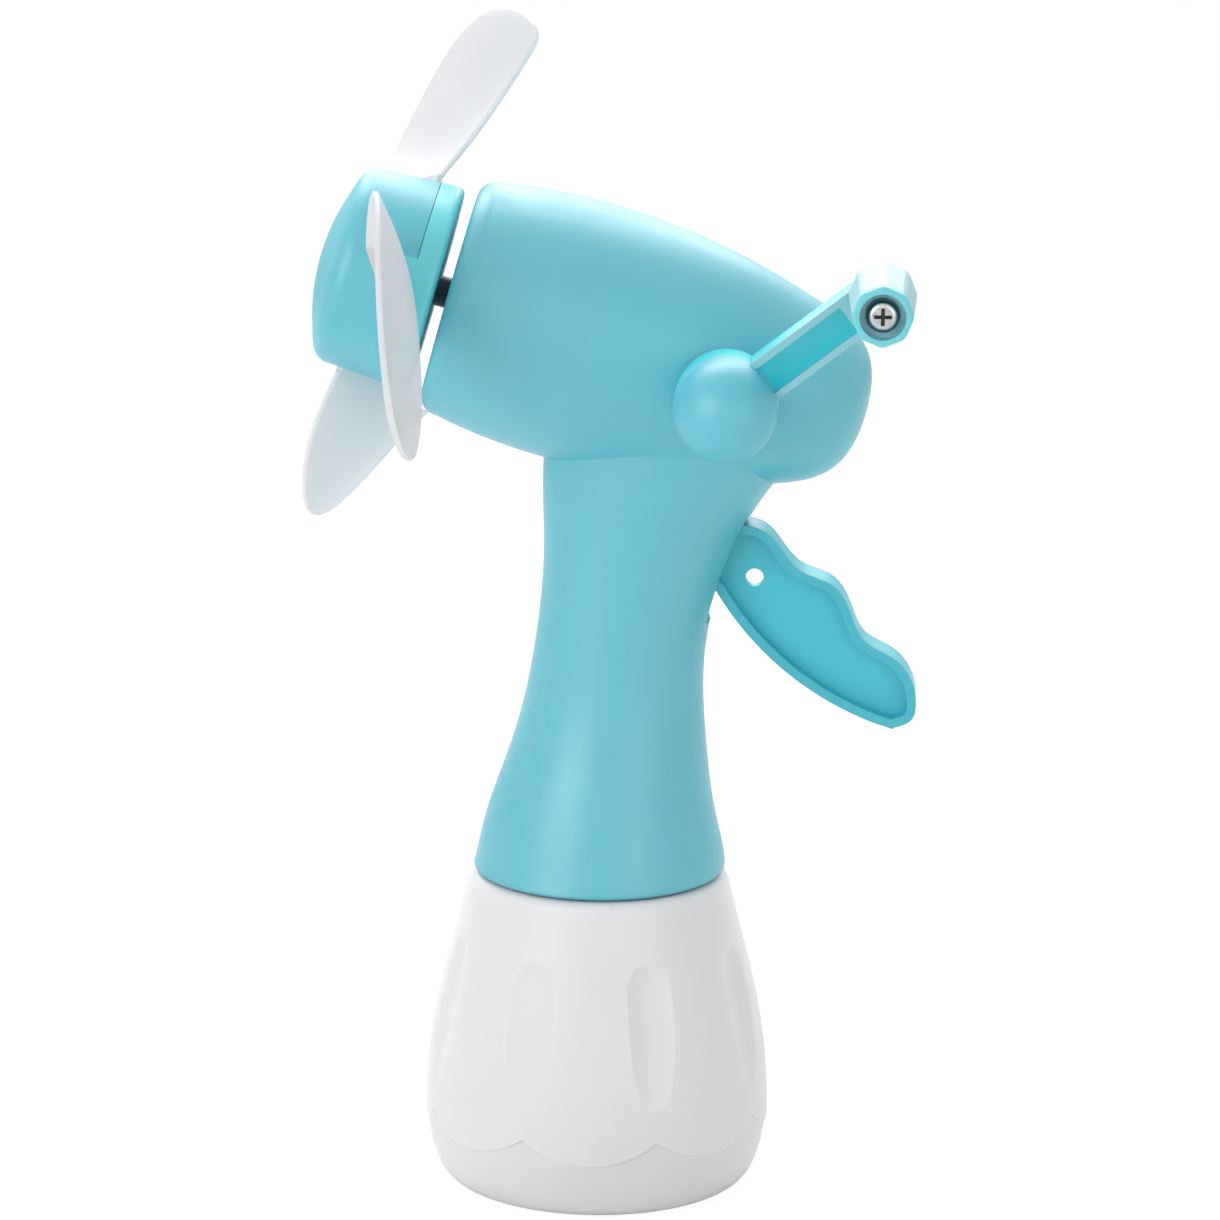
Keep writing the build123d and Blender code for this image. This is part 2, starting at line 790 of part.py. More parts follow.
def trigger_outline():
    """Side view of the finger lever outside and just inside the handle."""
    back = trigger_back()
    crown = (pivot_y, pivot_z + pivot_boss_r - 0.2)
    root = Polyline(trigger_front() @ 1, (pivot_y - 2.0, pivot_z - 3.8), crown)
    return make_face([back, trigger_front(), root, Line(crown, back @ 0)])


def trigger_thinned():
    """The lever's side view between its rims, where the web is thin."""
    back = trigger_back()
    inner = []
    for k in range(24):
        place = back @ (k / 24)
        way = back % (k / 24)
        inner.append((place.X + way.Y * trigger_rim, place.Y - way.X * trigger_rim))
    front = trigger_front()
    centre = front.arc_center
    keep = 1 - trigger_rim / front.radius
    drawn_in = [centre + (front @ t - centre) * keep for t in (0, 0.5, 1)]
    arc = ThreePointArc(*drawn_in)
    near_y = pivot_y + web_start
    root = Polyline(arc @ 1, (near_y, pivot_z - 2 * web_start), (near_y, pivot_z + web_start), inner[0])
    return make_face([Spline(inner), Line(inner[-1], arc @ 0), arc, root])


def trigger():
    """Finger lever with thinned web, pivot barrel and inner arm."""
    half = trigger_width / 2
    plate = extrude(Plane.YZ * trigger_outline(), half, both=True)
    thinned = trigger_thinned()
    low = trigger_web / 2
    pockets = [
        extrude(Plane.YZ.offset(side * low) * thinned, half, dir=(side, 0, 0)) for side in (1, -1)
    ]
    barrel = along_x(rod(pivot_boss_r, trigger_width), -half, pivot_y, pivot_z)
    start = radians(start_angle)
    nose_at = (pivot_y - pull_arm * cos(start), pivot_z - pull_arm * sin(start))
    nose = along_x(rod(nose_r, trigger_width - 2), -half + 1, *nose_at)
    bar = block(-half + 1, half - 1, -pull_arm, 0, -pull_arm_t / 2, pull_arm_t / 2)
    arm = Location((0, pivot_y, pivot_z), (start_angle, 0, 0)) * bar
    holes = [
        along_x(rod(pivot_r + 0.06, 30), -15, pivot_y, pivot_z),
        along_x(rod(trigger_hole_r, 30), -15, trigger_hole_y, trigger_hole_z),
    ]
    return plate - pockets + [barrel, nose, arm] - holes


def trigger_pin():
    """Steel pin across the handle that the trigger swings on."""
    return along_x(rod(pivot_r, 20), -10, pivot_y, pivot_z)


# ---------------------------------------------------------------- pump


def pump_body():
    """Barrel with an inlet chamber in front and an outlet chamber behind."""
    roof = pump_roof_z + pump_roof_t
    flange_z = pump_mouth_z + pump_flange_up
    barrel = Pos(0, pump_y, pump_mouth_z + gland_t) * rod(pump_outer_r, roof - pump_mouth_z - gland_t)
    barrel += Pos(0, pump_y, flange_z) * rod(pump_outer_r + pump_flange_wide, pump_flange_t)
    inlet = Pos(0, inlet_y, inlet_bottom_z) * rod(chamber_r, roof - 1 - inlet_bottom_z)
    outlet = Pos(0, elbow_y, outlet_bottom_z) * rod(chamber_r, outlet_len)
    webs = block(-chamber_r / 2, chamber_r / 2, inlet_y, elbow_y, outlet_bottom_z + 1, roof - 1)
    body = barrel + inlet + outlet + webs
    bores = [
        Pos(0, pump_y, pump_mouth_z) * rod(pump_bore_r, pump_roof_z - pump_mouth_z),
        Pos(0, inlet_y, inlet_bottom_z) * rod(spigot_r, inlet_passage_z + passage_r - inlet_bottom_z + 0.2),
        Pos(0, elbow_y, outlet_passage_z - passage_r - 0.7) * rod(ball_r * 0.8, 4),
        Pos(0, elbow_y, outlet_seat_z) * rod(ball_r + 0.5, outlet_len),
        Location((0, inlet_y, inlet_passage_z), (-90, 0, 0)) * rod(passage_r, pump_y - inlet_y),
        Location((0, pump_y, outlet_passage_z), (-90, 0, 0)) * rod(passage_r, elbow_y - pump_y),
    ]
    return body - bores


def pump_gland():
    """Ring that closes the barrel's mouth round the piston's rod."""
    cap = Pos(0, pump_y, pump_mouth_z) * rod(pump_outer_r, gland_t)
    plug = Pos(0, pump_y, pump_mouth_z + gland_t) * rod(pump_bore_r, gland_plug_len)
    return cap + plug - Pos(0, pump_y, pump_mouth_z - 1) * rod(rod_r + slide_clear, 6)


def pump_piston():
    """Piston and rod; the trigger's arm lifts the rod's foot."""
    stem = Pos(0, pump_y, rod_foot_z) * rod(rod_r, piston_z - rod_foot_z + 1)
    head = Pos(0, pump_y, piston_z) * rod(pump_bore_r - slide_clear, piston_len)
    nub = Pos(0, pump_y, piston_z + piston_len) * rod(piston_nub_r, piston_nub_h)
    groove_z = piston_z + (piston_len - piston_groove) / 2
    floor_r = pump_bore_r - slide_clear - piston_groove_depth
    groove = Pos(0, pump_y, groove_z) * ring(pump_bore_r + 1, floor_r, piston_groove)
    return stem + head + nub - groove


def piston_seal():
    """Rubber ring in the piston's groove."""
    inner_r = pump_bore_r - slide_clear - piston_groove_depth + seal_clear / 2
    seal = ring(pump_bore_r - seal_clear / 2, inner_r, piston_groove - 2 * seal_clear)
    return Pos(0, pump_y, piston_z + (piston_len - piston_groove) / 2 + seal_clear) * seal


def pump_spring():
    """Return spring between the piston and the barrel's roof."""
    foot = piston_z + piston_len + spring_wire_r + 0.1
    height = pump_roof_z - spring_wire_r - 0.1 - foot
    path = Helix(height / spring_turns, height, spring_mean_r)
    start = Plane(origin=path @ 0, z_dir=path % 0)
    coil = sweep(start * Circle(spring_wire_r), path, is_frenet=True)
    return Pos(0, pump_y, foot) * coil


def inlet_spigot():
    """Barbed plug that joins the dip tube to the inlet chamber."""
    plug = Pos(0, inlet_y, inlet_bottom_z) * rod(spigot_r, seat_plug_len)
    barb = Pos(0, inlet_y, inlet_bottom_z - seat_plug_len) * rod(dip_tube_bore_r, seat_plug_len)
    bore = Pos(0, inlet_y, inlet_bottom_z - seat_plug_len - 1) * rod(dip_tube_bore_r - 0.6, 2 * seat_plug_len + 2)
    seat = Pos(0, inlet_y, inlet_seat_z + ball_r * 0.8) * Sphere(ball_r + 0.02)
    return plug + barb - bore - seat


def valve_ball(y, z):
    """A loose check-valve ball."""
    return Pos(0, y, z) * Sphere(ball_r)


def spray_elbow():
    """Elbow that turns the water from the pump into the mist tube."""
    leg_z = outlet_top_z - 3
    leg = Pos(0, elbow_y, leg_z) * rod(ball_r + 0.5, elbow_z - leg_z)
    joint = Pos(0, elbow_y, elbow_z) * Sphere(elbow_r)
    mouth_s = elbow_s - elbow_socket
    elbow = leg + joint + along_fan_axis(rod(elbow_r, elbow_socket), mouth_s)
    bores = [
        Pos(0, elbow_y, leg_z - 1) * rod(passage_r, elbow_z - leg_z + 1),
        along_fan_axis(rod(mist_tube_r, elbow_socket - mist_tube_bore_r), mouth_s),
        along_fan_axis(rod(mist_tube_bore_r, elbow_socket), mouth_s),
    ]
    return elbow - bores


def mist_tube():
    """Fixed tube through the spindle, from the elbow to the nozzle."""
    front = -hub_dome_s + nozzle_face_t
    rear = elbow_s - mist_tube_bore_r
    return along_fan_axis(ring(mist_tube_r, mist_tube_bore_r, rear - front), front)


def nozzle_tip():
    """Spray nozzle on the mist tube's front end, flush with the hub's dome."""
    cup = Pos(0, 0, nozzle_face_t) * ring(nozzle_r, mist_tube_r, nozzle_len - nozzle_face_t)
    return along_fan_axis(ring(nozzle_r, nozzle_hole_r, nozzle_face_t) + cup, -hub_dome_s)


def dip_tube():
    """Suction tube from the pump down into the bottle."""
    length = inlet_bottom_z - dip_tube_end_z
    return Pos(0, inlet_y, dip_tube_end_z) * ring(dip_tube_r, dip_tube_bore_r, length)


def dip_strainer():
    """Small strainer cup on the dip tube's foot."""
    cup = Pos(0, inlet_y, dip_tube_end_z - 2) * rod(strainer_r, strainer_len)
    cup -= Pos(0, inlet_y, dip_tube_end_z) * rod(dip_tube_r, 10)
    cup -= Pos(0, inlet_y, dip_tube_end_z - 1) * rod(dip_tube_r - 0.5, 2)
    for angle in (0, 90):
        cup -= Pos(0, inlet_y, dip_tube_end_z - 2) * Rot(0, 0, angle) * Box(9, 1.0, 3)
    return cup


def neck_collar():
    """Threaded collar trapped in the handle; the bottle screws into it."""
    low = shoulder_z + collar_bottom_gap
    cup = Pos(0, 0, low) * rod(collar_r, collar_roof_z + 2 - low)
    cup += Pos(0, 0, collar_flange_z) * rod(collar_flange_r, collar_flange_t)
    cup -= Pos(0, 0, low) * rod(collar_bore_r, collar_roof_z - low)
    ridge_z = shoulder_z + neck_thread_above_shoulder - thread_pitch / 2
    crest = neck_r + thread_clear
    cup += helical_ridge(collar_bore_r + 0.3, crest, ridge_z)
    cup -= Pos(0, inlet_y, low) * rod(dip_tube_r + 0.1, 60)
    return cup - Pos(0, -inlet_y, low) * rod(0.8, 60)


# ---------------------------------------------------------------- fan hub and blades


def hub_side(s):
    """Outer radius of the hub's cone at a place on the fan axis."""
    share = (-hub_gap_s - s) / hub_depth
    return hub_rear_r + (hub_front_r - hub_rear_r) * share


def hub_solid(inset):
    """The hub's outer form, a cone with a domed front, drawn in by inset."""
    rear = -hub_gap_s
    front = rear - hub_depth
    corner_s = front + hub_corner
    edge_r = hub_side(rear) - inset
    edge = hub_rear_round
    bend = edge * (1 - sqrt(0.5))
    back = Line((0, rear), (edge_r - edge, rear))
    corner = ThreePointArc(back @ 1, (edge_r - bend, rear - bend), (edge_r, rear - edge))
    cone = Line(corner @ 1, (hub_side(corner_s) - inset, corner_s))
    dome = Spline(
        [
            cone @ 1,
            (hub_front_r - hub_face_in - inset, front - hub_face_rise + inset),
            (0, -hub_dome_s + inset),
        ],
        tangents=[(-0.06, -1), (-1, 0)],
    )
    return revolve(make_face([back, corner, cone, dome, Line(dome @ 1, (0, rear))]), axis=Axis.Y)


def blade_plane(u):
    """Section plane of the rest blade at share u of its free length."""
    r = blade_root_r + (blade_tip_r - blade_root_r) * u
    turn = radians(blade_phase + blade_sweep_linear * u + blade_sweep_square * u * u)
    pitch = radians(blade_root_pitch + (blade_tip_pitch - blade_root_pitch) * u)
    out = Vector(sin(turn), 0, cos(turn))
    across = Vector(cos(turn), 0, -sin(turn))
    skew = blade_skew_linear * u + blade_skew_square * u * u
    rake = blade_rake_linear * u + blade_rake_square * u * u
    origin = out * r + across * skew + Vector(0, blade_root_s + rake, 0)
    chord = across * cos(pitch) - Vector(0, sin(pitch), 0)
    return Plane(origin=origin, x_dir=chord, z_dir=out)


def blade_section(half, camber):
    """Thin arched strip with round edges, the cut through a blade."""
    t = blade_t / 2
    rise = camber * half
    return make_face(
        [
            ThreePointArc((-half, -t), (0, rise - t), (half, -t)),
            ThreePointArc((half, -t), (half + t, 0), (half, t)),
            ThreePointArc((half, t), (0, rise + t), (-half, t)),
            ThreePointArc((-half, t), (-half - t, 0), (-half, -t)),
        ]
    )


def blade_stations():
    """Shares of the free length and half chords: a swelling petal, then an elliptic tip."""
    swell = [k / 4 for k in range(4)]
    round_off = [radians(a) for a in (0, 22, 41, 56, 68, 77, 84)]
    grow = blade_half - blade_root_half
    stations = [(blade_widest * x, blade_root_half + grow * sin(pi / 2 * x)) for x in swell]
    tip = 1 - blade_widest
    return stations + [(blade_widest + tip * sin(a), blade_half * cos(a)) for a in round_off]


def root_slab(half, thickness, reach_in, reach_out):
    """The flat tab that carries a blade through the hub's wall."""
    slab = Box(2 * half, thickness, reach_out - reach_in)
    place = blade_plane(0)
    return place.location * Pos(0, 0, (reach_in + reach_out) / 2 - blade_root_r) * slab


def blade_at_rest():
    """One blade: root tab, then a twisted, swept, rounded sheet."""
    slices = []
    for u, half in blade_stations():
        camber = blade_root_camber + (blade_tip_camber - blade_root_camber) * u
        camber = camber * min(1.0, 4 * u) + 0.001
        slices.append(blade_plane(u) * blade_section(half, camber))
    sheet = loft(slices)
    tab = root_slab(blade_root_half, blade_t, hub_boss_r + 1.5, blade_root_r + 0.4)
    return sheet + tab


def blade_wedge():
    """The part of the hub's wall that stands behind a blade's root."""
    half = (blade_root_half + slot_end_clear) * cos(radians(blade_root_pitch)) - wedge_inset
    rise = -half * tan(radians(blade_root_pitch))
    place = Plane(origin=(0, 0, 0), x_dir=blade_across(), z_dir=blade_out())
    ring_s = -(hub_gap_s + hub_ring)
    face = make_face(
        Polyline(
            (-half, ring_s + 1),
            (half, ring_s + 1),
            (half, blade_root_s + rise),
            (-half, blade_root_s - rise),
            close=True,
        )
    )
    return extrude(place.offset(12) * face, 20)


def blade_out():
    """Direction along the rest blade's root, away from the axis."""
    turn = radians(blade_phase)
    return (sin(turn), 0, cos(turn))


def blade_across():
    """Direction across the rest blade's root, square to the axis."""
    turn = radians(blade_phase)
    return (cos(turn), 0, -sin(turn))


def blade_fittings():
    """The wedges behind the blades' roots and the slots that the roots sit in."""
    slot_half = blade_root_half + slot_end_clear
    slot_t = blade_t + 2 * slot_clear
    wedges = []
    slots = []
    for k in range(blade_count):
        turn = Rot(0, 360 / blade_count * k, 0)
        wedges.append(turn * blade_wedge())
        slots.append(turn * root_slab(slot_half, slot_t, hub_boss_r + 1.2, slot_reach_r))
    return wedges, slots


def hub_base():
    """Rear half of the hub: plate, boss on the spindle, rim and wedges."""
    rear = -hub_gap_s
    wedges, slots = blade_fittings()
    skin = hub_solid(0) - (hub_solid(hub_wall) - block(-40, 40, rear - hub_wall, 0, -40, 40))
    rim = block(-40, 40, rear - hub_ring, 0, -40, 40)
    base = skin & (rim + wedges)
    base += Location((0, rear - 0.5, 0), (90, 0, 0)) * rod(hub_boss_r, hub_depth - 3)
    posts = Part()
    for k in range(blade_count):
        turn = Rot(0, 360 / blade_count * k, 0)
        posts += turn * root_slab(blade_root_half, blade_t + 2 * post_wall, hub_boss_r - 2, post_reach_r)
    base += posts & hub_solid(hub_wall + 0.5)
    bore = Location((0, 1, 0), (90, 0, 0)) * rod(spindle_r, 40)
    return HEAD * (base - slots - bore)


def hub_cap():
    """Front half of the hub: domed cover with a hole for the nozzle."""
    rear = -hub_gap_s - hub_ring - slot_clear
    wedges, slots = blade_fittings()
    cap = (hub_solid(0) - hub_solid(hub_wall)) & block(-40, 40, -60, rear, -40, 40)
    hole = Location((0, 0, 0), (90, 0, 0)) * rod(nozzle_r + nozzle_clear, 60)
    return HEAD * (cap - wedges - slots - hole)


def blade(k):
    """Blade number k, counted from the one that stands highest."""
    return HEAD * Rot(0, 360 / blade_count * k, 0) * blade_at_rest()


# ---------------------------------------------------------------- assembly


def build_parts():
    """Every piece of the fan under its own name."""
    skin = hollow_body()
    core = body_solid(shell_wall / 2)
    parts = {
        "bottle": bottle(),
        "neck_washer": neck_washer(),
        "neck_collar": neck_collar(),
        "shell_crank_side": shell_crank_side(skin, core),
        "shell_far_side": shell_far_side(skin, core),
        "shell_screws": shell_screws(),
        "front_bush": front_bush(),
        "rear_bush": rear_bush(),
        "fan_spindle": fan_spindle(),
        "spindle_pinion": spindle_pinion(),
        "crown_gear": crown_gear(),
        "crank_shaft": crank_shaft(),
        "crank_bush": crank_bush(),
        "crank_arm": crank_arm(),
        "crank_cap": crank_cap(),
        "crank_screw": crank_screw(),
        "crank_grip": crank_grip(),
        "grip_washer": grip_washer(),
        "grip_screw": grip_screw(),
        "trigger": trigger(),
        "trigger_pin": trigger_pin(),
        "pump_body": pump_body(),
        "pump_gland": pump_gland(),
        "pump_piston": pump_piston(),
        "piston_seal": piston_seal(),
        "pump_spring": pump_spring(),
        "inlet_spigot": inlet_spigot(),
        "inlet_ball": valve_ball(inlet_y, inlet_seat_z + ball_r * 0.8),
        "outlet_ball": valve_ball(elbow_y, outlet_seat_z + ball_r * 0.67),
        "spray_elbow": spray_elbow(),
        "mist_tube": mist_tube(),
        "nozzle_tip": nozzle_tip(),
        "dip_tube": dip_tube(),
        "dip_strainer": dip_strainer(),
        "hub_base": hub_base(),
        "hub_cap": hub_cap(),
    }
    for k in range(blade_count):
        parts[f"blade_{k + 1}"] = blade(k)
    return parts


os.makedirs("parts", exist_ok=True)
for name, shape in build_parts().items():
    export_step(shape, f"parts/{name}.step")
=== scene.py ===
from math import cos, radians, sin

import bmesh
import bpy
from mathutils import Matrix, Vector


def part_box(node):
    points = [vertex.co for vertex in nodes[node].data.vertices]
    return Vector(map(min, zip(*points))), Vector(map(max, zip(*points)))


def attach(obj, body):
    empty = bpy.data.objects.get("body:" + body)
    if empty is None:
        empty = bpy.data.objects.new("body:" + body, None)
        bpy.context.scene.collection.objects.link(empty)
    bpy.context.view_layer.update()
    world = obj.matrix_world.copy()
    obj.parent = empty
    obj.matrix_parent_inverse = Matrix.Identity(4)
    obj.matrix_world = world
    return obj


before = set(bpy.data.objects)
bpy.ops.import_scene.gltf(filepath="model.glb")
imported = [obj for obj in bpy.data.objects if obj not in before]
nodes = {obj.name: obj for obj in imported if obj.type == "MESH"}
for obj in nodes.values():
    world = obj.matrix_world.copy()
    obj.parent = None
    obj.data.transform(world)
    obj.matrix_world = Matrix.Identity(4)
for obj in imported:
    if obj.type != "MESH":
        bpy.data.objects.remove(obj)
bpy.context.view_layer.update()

# ---- camera -------------------------------------------------------------
# A long lens nearly square to the crank's side and a little above it, as a
# product shot is taken.
view_azimuth, view_height, view_roll = radians(92.5), radians(14.0), radians(0.6)
view_target = Vector((0.0, 0.001861, 0.130753))
view_distance = 1.2889
lens_length, film_width = 171.1, 36.0
backward = Vector((
    sin(view_azimuth) * cos(view_height),
    -cos(view_azimuth) * cos(view_height),
    sin(view_height),
))
level_right = (-backward).cross(Vector((0, 0, 1))).normalized()
level_up = level_right.cross(-backward)
right = level_right * cos(view_roll) + level_up * sin(view_roll)
up = level_up * cos(view_roll) - level_right * sin(view_roll)
lens_data = bpy.data.cameras.new("product_camera")
lens_data.sensor_width = film_width
lens_data.lens = lens_length
camera = bpy.data.objects.new("product_camera", lens_data)
camera.matrix_world = Matrix.Translation(view_target + backward * view_distance) @ Matrix((
    (right.x, up.x, backward.x, 0),
    (right.y, up.y, backward.y, 0),
    (right.z, up.z, backward.z, 0),
    (0, 0, 0, 1),
))
bpy.context.scene.collection.objects.link(camera)
bpy.context.scene.camera = camera
bpy.context.scene.view_settings.view_transform = "Standard"

# ---- floor and light ----------------------------------------------------
# A white sweep that shows pure white to the lens and keeps a faint shadow,
# three large soft boxes and an even pale surround.
floor_reach, floor_level = 6.0, -0.0003
floor_corners = ((-1, -1), (1, -1), (1, 1), (-1, 1))
floor_data = bpy.data.meshes.new("studio_floor")
floor_data.from_pydata(
    [(x * floor_reach, y * floor_reach, floor_level) for x, y in floor_corners], [], [(0, 1, 2, 3)]
)
floor = bpy.data.objects.new("studio_floor", floor_data)
bpy.context.scene.collection.objects.link(floor)

sweep = bpy.data.materials.new("white_sweep")
sweep.use_nodes = True
sweep_tree = sweep.node_tree
sweep_tree.nodes.clear()
sweep_out = sweep_tree.nodes.new("ShaderNodeOutputMaterial")
sweep_mix = sweep_tree.nodes.new("ShaderNodeMixShader")
sweep_path = sweep_tree.nodes.new("ShaderNodeLightPath")
sweep_paper = sweep_tree.nodes.new("ShaderNodeBsdfDiffuse")
sweep_paper.inputs["Color"].default_value = (0.80, 0.80, 0.80, 1)
sweep_glow = sweep_tree.nodes.new("ShaderNodeEmission")
sweep_glow.inputs["Strength"].default_value = 1.08
sweep_share = sweep_tree.nodes.new("ShaderNodeMath")
sweep_share.operation = "MULTIPLY"
sweep_share.inputs[1].default_value = 0.86
sweep_tree.links.new(sweep_path.outputs["Is Camera Ray"], sweep_share.inputs[0])
sweep_tree.links.new(sweep_share.outputs[0], sweep_mix.inputs[0])
sweep_tree.links.new(sweep_paper.outputs[0], sweep_mix.inputs[1])
sweep_tree.links.new(sweep_glow.outputs[0], sweep_mix.inputs[2])
sweep_tree.links.new(sweep_mix.outputs[0], sweep_out.inputs["Surface"])
floor_data.materials.append(sweep)

surround = bpy.data.worlds.new("studio_surround")
surround.use_nodes = True
surround_tree = surround.node_tree
surround_tree.nodes.clear()
surround_out = surround_tree.nodes.new("ShaderNodeOutputWorld")
surround_seen = surround_tree.nodes.new("ShaderNodeBackground")
surround_seen.inputs["Color"].default_value = (1, 1, 1, 1)
surround_seen.inputs["Strength"].default_value = 1.0
surround_fill = surround_tree.nodes.new("ShaderNodeBackground")
surround_fill.inputs["Color"].default_value = (0.98, 0.99, 1.0, 1)
surround_fill.inputs["Strength"].default_value = 0.62
surround_path = surround_tree.nodes.new("ShaderNodeLightPath")
surround_mix = surround_tree.nodes.new("ShaderNodeMixShader")
surround_straight = surround_tree.nodes.new("ShaderNodeMath")
surround_straight.operation = "MAXIMUM"
surround_shown = surround_tree.nodes.new("ShaderNodeMath")
surround_shown.operation = "MAXIMUM"
surround_tree.links.new(surround_path.outputs["Is Camera Ray"], surround_straight.inputs[0])
surround_tree.links.new(surround_path.outputs["Is Transmission Ray"], surround_straight.inputs[1])
surround_tree.links.new(surround_straight.outputs[0], surround_shown.inputs[0])
surround_tree.links.new(surround_path.outputs["Is Glossy Ray"], surround_shown.inputs[1])
surround_tree.links.new(surround_shown.outputs[0], surround_mix.inputs[0])
surround_tree.links.new(surround_fill.outputs[0], surround_mix.inputs[1])
surround_tree.links.new(surround_seen.outputs[0], surround_mix.inputs[2])
surround_tree.links.new(surround_mix.outputs[0], surround_out.inputs["Surface"])
bpy.context.scene.world = surround

lamp_aim = Vector((0, 0, 0.15))
for lamp_name, lamp_at, lamp_size, lamp_watts in (
    ("soft_box_front", (1.15, -0.95, 0.70), 0.9, 8.0),
    ("soft_box_side", (1.3, 0.9, 0.35), 0.9, 2.4),
    ("soft_box_back", (-0.85, -0.1, 0.95), 1.1, 15.0),
):
    lamp_data = bpy.data.lights.new(lamp_name, "AREA")
    lamp_data.size = lamp_size
    lamp_data.energy = lamp_watts
    lamp = bpy.data.objects.new(lamp_name, lamp_data)
    lamp.location = lamp_at
    lamp.rotation_euler = (lamp_aim - Vector(lamp_at)).to_track_quat("-Z", "Y").to_euler()
    bpy.context.scene.collection.objects.link(lamp)

# ---- body: two moulded halves ------------------------------------------
# Head and handle, two thin ABS halves screwed together from the far side.
# Satin turquoise, with the faint flow marks and fine skin of a moulding, and
# a painted shade along the bottom rim, where the handle meets the bottle.
skin_group = bpy.data.node_groups.new("moulded_skin", "ShaderNodeTree")
for socket_name, socket_kind, socket_start in (
    ("Pale", "NodeSocketColor", (1, 1, 1, 1)),
    ("Deep", "NodeSocketColor", (0, 0, 0, 1)),
    ("Cloud Size", "NodeSocketFloat", 40.0),
    ("Gloss", "NodeSocketFloat", 0.35),
    ("Skin Depth", "NodeSocketFloat", 0.05),
):
    made = skin_group.interface.new_socket(socket_name, in_out="INPUT", socket_type=socket_kind)
    made.default_value = socket_start
for socket_name, socket_kind in (
    ("Color", "NodeSocketColor"), ("Roughness", "NodeSocketFloat"), ("Normal", "NodeSocketVector"),
):
    skin_group.interface.new_socket(socket_name, in_out="OUTPUT", socket_type=socket_kind)
skin_in = skin_group.nodes.new("NodeGroupInput")
skin_out = skin_group.nodes.new("NodeGroupOutput")
skin_place = skin_group.nodes.new("ShaderNodeTexCoord")
skin_cloud = skin_group.nodes.new("ShaderNodeTexNoise")
skin_cloud.inputs["Detail"].default_value = 3.0
skin_cloud_range = skin_group.nodes.new("ShaderNodeMapRange")
skin_cloud_range.inputs["From Min"].default_value = 0.35
skin_cloud_range.inputs["From Max"].default_value = 0.68
skin_tone = skin_group.nodes.new("ShaderNodeMix")
skin_tone.data_type = "RGBA"
skin_grain = skin_group.nodes.new("ShaderNodeTexNoise")
skin_grain.inputs["Scale"].default_value = 1500.0
skin_grain.inputs["Detail"].default_value = 2.0
skin_bump = skin_group.nodes.new("ShaderNodeBump")
skin_bump.inputs["Distance"].default_value = 0.0002
skin_rough = skin_group.nodes.new("ShaderNodeMath")
skin_rough.operation = "MULTIPLY_ADD"
skin_rough.inputs[1].default_value = 0.10
skin_group.links.new(skin_place.outputs["Object"], skin_cloud.inputs["Vector"])
skin_group.links.new(skin_place.outputs["Object"], skin_grain.inputs["Vector"])
skin_group.links.new(skin_in.outputs["Cloud Size"], skin_cloud.inputs["Scale"])
skin_group.links.new(skin_cloud.outputs["Fac"], skin_cloud_range.inputs["Value"])
skin_group.links.new(skin_cloud_range.outputs["Result"], skin_tone.inputs["Factor"])
skin_group.links.new(skin_in.outputs["Pale"], skin_tone.inputs["A"])
skin_group.links.new(skin_in.outputs["Deep"], skin_tone.inputs["B"])
skin_group.links.new(skin_tone.outputs["Result"], skin_out.inputs["Color"])
skin_group.links.new(skin_cloud_range.outputs["Result"], skin_rough.inputs[0])
skin_group.links.new(skin_in.outputs["Gloss"], skin_rough.inputs[2])
skin_group.links.new(skin_rough.outputs[0], skin_out.inputs["Roughness"])
skin_group.links.new(skin_grain.outputs["Fac"], skin_bump.inputs["Height"])
skin_group.links.new(skin_in.outputs["Skin Depth"], skin_bump.inputs["Strength"])
skin_group.links.new(skin_bump.outputs["Normal"], skin_out.inputs["Normal"])


def moulded(name, pale, deep, gloss=0.38, skin_depth=0.06, cloud=38.0, glow=0.0, glow_depth=0.004):
    """A moulded plastic: two near tones clouded together under a fine skin."""
    material = bpy.data.materials.new(name)
    material.use_nodes = True
    tree = material.node_tree
    skin = tree.nodes.new("ShaderNodeGroup")
    skin.node_tree = skin_group
    skin.inputs["Pale"].default_value = (*pale, 1)
    skin.inputs["Deep"].default_value = (*deep, 1)
    skin.inputs["Cloud Size"].default_value = cloud
    skin.inputs["Gloss"].default_value = gloss
    skin.inputs["Skin Depth"].default_value = skin_depth
    shader = tree.nodes["Principled BSDF"]
    tree.links.new(skin.outputs["Color"], shader.inputs["Base Color"])
    tree.links.new(skin.outputs["Roughness"], shader.inputs["Roughness"])
    tree.links.new(skin.outputs["Normal"], shader.inputs["Normal"])
    if glow:
        shader.inputs["Subsurface Weight"].default_value = glow
        shader.inputs["Subsurface Radius"].default_value = (1.0, 1.0, 1.0)
        shader.inputs["Subsurface Scale"].default_value = glow_depth
    return material


